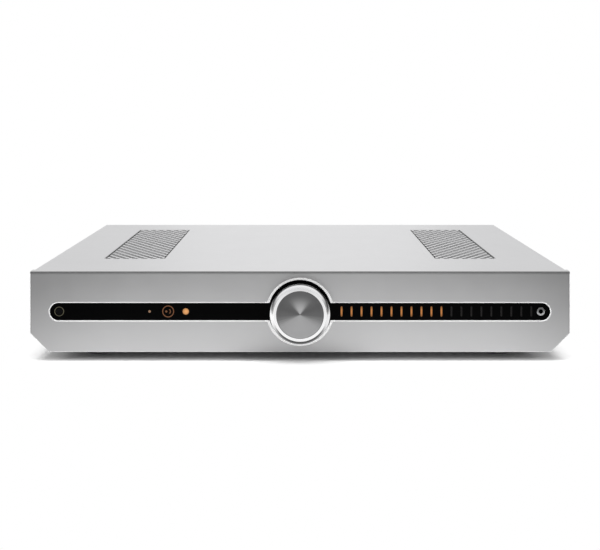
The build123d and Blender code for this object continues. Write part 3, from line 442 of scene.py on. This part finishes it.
g = Graph("floor_paper")
lp = g.t.nodes.new("ShaderNodeLightPath")
g.t.nodes.remove(g.b)
dif = g.t.nodes.new("ShaderNodeBsdfDiffuse")
g.put(dif.inputs["Color"], g.mix(g.span(g.noise(3.0, 4.0), 0.3, 0.7, 0.0, 1.0), (0.90, 0.90, 0.90), (0.93, 0.93, 0.93)))
em = g.t.nodes.new("ShaderNodeEmission")
x, y, z = g.xyz()
# what the metal faces see in the floor: light ground in front that falls away with distance and to the sides
ahead = g.math("SUBTRACT", g.math("MULTIPLY", y, -1.0), 0.1745)
ax = g.math("ABSOLUTE", x)
pool = g.span(ahead, 0.20, 0.52, 0.88, 0.0, smooth=True)
pool = g.math("MULTIPLY", pool, g.span(ax, 0.14, 0.38, 1.0, 0.22, smooth=True))
# painted shadow: the pool is dimmed just in front of the knob, standing in for the knob's shadow
kx = g.math("DIVIDE", x, 0.070)
ky = g.math("DIVIDE", g.math("SUBTRACT", ahead, 0.008), 0.042)
painted_knob_shadow_r = g.math("SQRT", g.math("ADD", g.math("MULTIPLY", kx, kx), g.math("MULTIPLY", ky, ky)))
pool = g.math("MULTIPLY", pool, g.span(painted_knob_shadow_r, 0.35, 1.0, 0.22, 1.0, smooth=True))
behind = g.math("MULTIPLY", g.span(y, -0.12, 0.25, 0.0, 1.0, smooth=True), 0.75)
g.put(em.inputs["Strength"], g.math("MAXIMUM", pool, behind))
ms = g.t.nodes.new("ShaderNodeMixShader")
g.t.links.new(lp.outputs["Is Glossy Ray"], ms.inputs[0])
g.t.links.new(dif.outputs[0], ms.inputs[1])
g.t.links.new(em.outputs[0], ms.inputs[2])
# away from the object the paper burns out to the plain white of the backdrop
far_x = g.math("MAXIMUM", g.math("SUBTRACT", ax, 0.206), 0.0)
far_y = g.math("MAXIMUM", g.math("SUBTRACT", g.math("ABSOLUTE", y), 0.168), 0.0)
away = g.math("SQRT", g.math("ADD", g.math("MULTIPLY", far_x, far_x), g.math("MULTIPLY", far_y, far_y)))
burn = g.math("MULTIPLY", g.span(away, 0.005, 0.029, 0.0, 1.0), lp.outputs["Is Camera Ray"])
white = g.t.nodes.new("ShaderNodeEmission")
ms2 = g.t.nodes.new("ShaderNodeMixShader")
g.t.links.new(burn, ms2.inputs[0])
g.t.links.new(ms.outputs[0], ms2.inputs[1])
g.t.links.new(white.outputs[0], ms2.inputs[2])
# seen from below the paper is clear, so the underside can be looked at
back = g.t.nodes.new("ShaderNodeNewGeometry")
clear = g.t.nodes.new("ShaderNodeBsdfTransparent")
ms3 = g.t.nodes.new("ShaderNodeMixShader")
g.t.links.new(back.outputs["Backfacing"], ms3.inputs[0])
g.t.links.new(ms2.outputs[0], ms3.inputs[1])
g.t.links.new(clear.outputs[0], ms3.inputs[2])
g.t.links.new(ms3.outputs[0], g.out.inputs[0])
floor_mesh.materials.append(g.m)

world = bpy.data.worlds.new("studio_air")
scene.world = world
world.use_nodes = True
wt = world.node_tree
wt.nodes.clear()
wo = wt.nodes.new("ShaderNodeOutputWorld")


def wn(kind, **k):
    n = wt.nodes.new(kind)
    for a_, v_ in k.items():
        setattr(n, a_, v_)
    return n


def wlink(a_, b_):
    wt.links.new(a_, b_)


geo = wn("ShaderNodeNewGeometry")
sep = wn("ShaderNodeSeparateXYZ")
wlink(geo.outputs["Incoming"], sep.inputs[0])


def wmath(op, a_, b_=0.0, clamp=False):
    n = wn("ShaderNodeMath", operation=op, use_clamp=clamp)
    for k, v_ in enumerate((a_, b_)):
        if isinstance(v_, bpy.types.NodeSocket):
            wlink(v_, n.inputs[k])
        else:
            n.inputs[k].default_value = v_
    return n.outputs[0]


def wspan(v_, a0, a1, b0, b1):
    n = wn("ShaderNodeMapRange", interpolation_type="SMOOTHSTEP")
    wlink(v_, n.inputs["Value"])
    for key, x_ in (("From Min", a0), ("From Max", a1), ("To Min", b0), ("To Max", b1)):
        n.inputs[key].default_value = x_
    return n.outputs["Result"]


up = wmath("MULTIPLY", sep.outputs["Z"], -1.0)       # sine of the elevation looked towards
ahead = wmath("MULTIPLY", sep.outputs["Y"], -1.0)    # +1 looking along +Y, behind the object
front_sky = wspan(up, 0.08, 0.55, 0.04, 0.95)         # dark horizon in front of the fascia, bright overhead
rear_sky = wspan(up, -0.1, 0.5, 0.84, 0.74)
blend = wspan(ahead, -0.25, 0.35, 0.0, 1.0)
sky = wmath("ADD", wmath("MULTIPLY", front_sky, wmath("SUBTRACT", 1.0, blend)), wmath("MULTIPLY", rear_sky, blend))
bg_light = wn("ShaderNodeBackground")
bg_light.inputs["Color"].default_value = (1.0, 1.0, 1.0, 1.0)
wlink(sky, bg_light.inputs["Strength"])
bg_seen = wn("ShaderNodeBackground")
bg_seen.inputs["Color"].default_value = (1.0, 1.0, 1.0, 1.0)
bg_seen.inputs["Strength"].default_value = 1.0
wlp = wn("ShaderNodeLightPath")
wmix = wn("ShaderNodeMixShader")
wlink(wlp.outputs["Is Camera Ray"], wmix.inputs[0])
wlink(bg_light.outputs[0], wmix.inputs[1])
wlink(bg_seen.outputs[0], wmix.inputs[2])
wlink(wmix.outputs[0], wo.inputs[0])


def area(name, loc, aim, sx, sy, power):
    d = bpy.data.lights.new(name, "AREA")
    d.shape, d.size, d.size_y, d.energy = "RECTANGLE", sx, sy, power
    o = bpy.data.objects.new(name, d)
    o.location = loc
    o.rotation_euler = (Vector(aim) - Vector(loc)).to_track_quat("-Z", "Y").to_euler()
    scene.collection.objects.link(o)
    return o


# these three light the matt surfaces; the metals mirror the sky, the floor and the rear box
over = area("overhead_box", (0.0, -0.15, 1.9), (0, 0, 0), 2.2, 1.6, 42.0)
left = area("left_box", (-1.6, -0.9, 1.1), (0, 0, 0.03), 0.9, 0.9, 6.0)
right = area("right_box", (1.6, -0.7, 1.1), (0, 0, 0.03), 0.9, 0.9, 5.0)
for o in (over, left, right):
    o.visible_glossy = False
area("rear_box", (0.0, 1.15, 0.50), (0, 0, 0.07), 0.55, 0.9, 0.30)

cam_data = bpy.data.cameras.new("camera")
cam_data.lens, cam_data.sensor_width = 67.5, 36.0
cam_data.clip_start, cam_data.clip_end = 0.02, 60.0
cam = bpy.data.objects.new("camera", cam_data)
cam.location = (0.0, -1.0745, 0.2057)
cam.rotation_euler = (math.pi / 2, 0.0, 0.0)      # level, with the lens dropped, so the uprights stay upright
cam_data.shift_y = -0.285
# the drop belongs to this one camera height: moved anywhere else, the lens goes back to centre
drop = cam_data.driver_add("shift_y")
drop.driver.type = "SUM"
for k in range(20):                               # twenty times the height, so the key points stand far enough apart
    height = drop.driver.variables.new()
    height.type = "TRANSFORMS"
    height.targets[0].id, height.targets[0].transform_type, height.targets[0].transform_space = cam, "LOC_Z", "WORLD_SPACE"
for m in list(drop.modifiers):
    drop.modifiers.remove(m)
while len(drop.keyframe_points):
    drop.keyframe_points.remove(drop.keyframe_points[0])
for at, value in ((4.084, 0.0), (4.100, -0.285), (4.128, -0.285), (4.144, 0.0)):
    drop.keyframe_points.insert(at, value).interpolation = "LINEAR"
drop.extrapolation = "CONSTANT"
scene.collection.objects.link(cam)
scene.camera = cam

scene.view_settings.view_transform = "Standard"
scene.view_settings.look = "None"
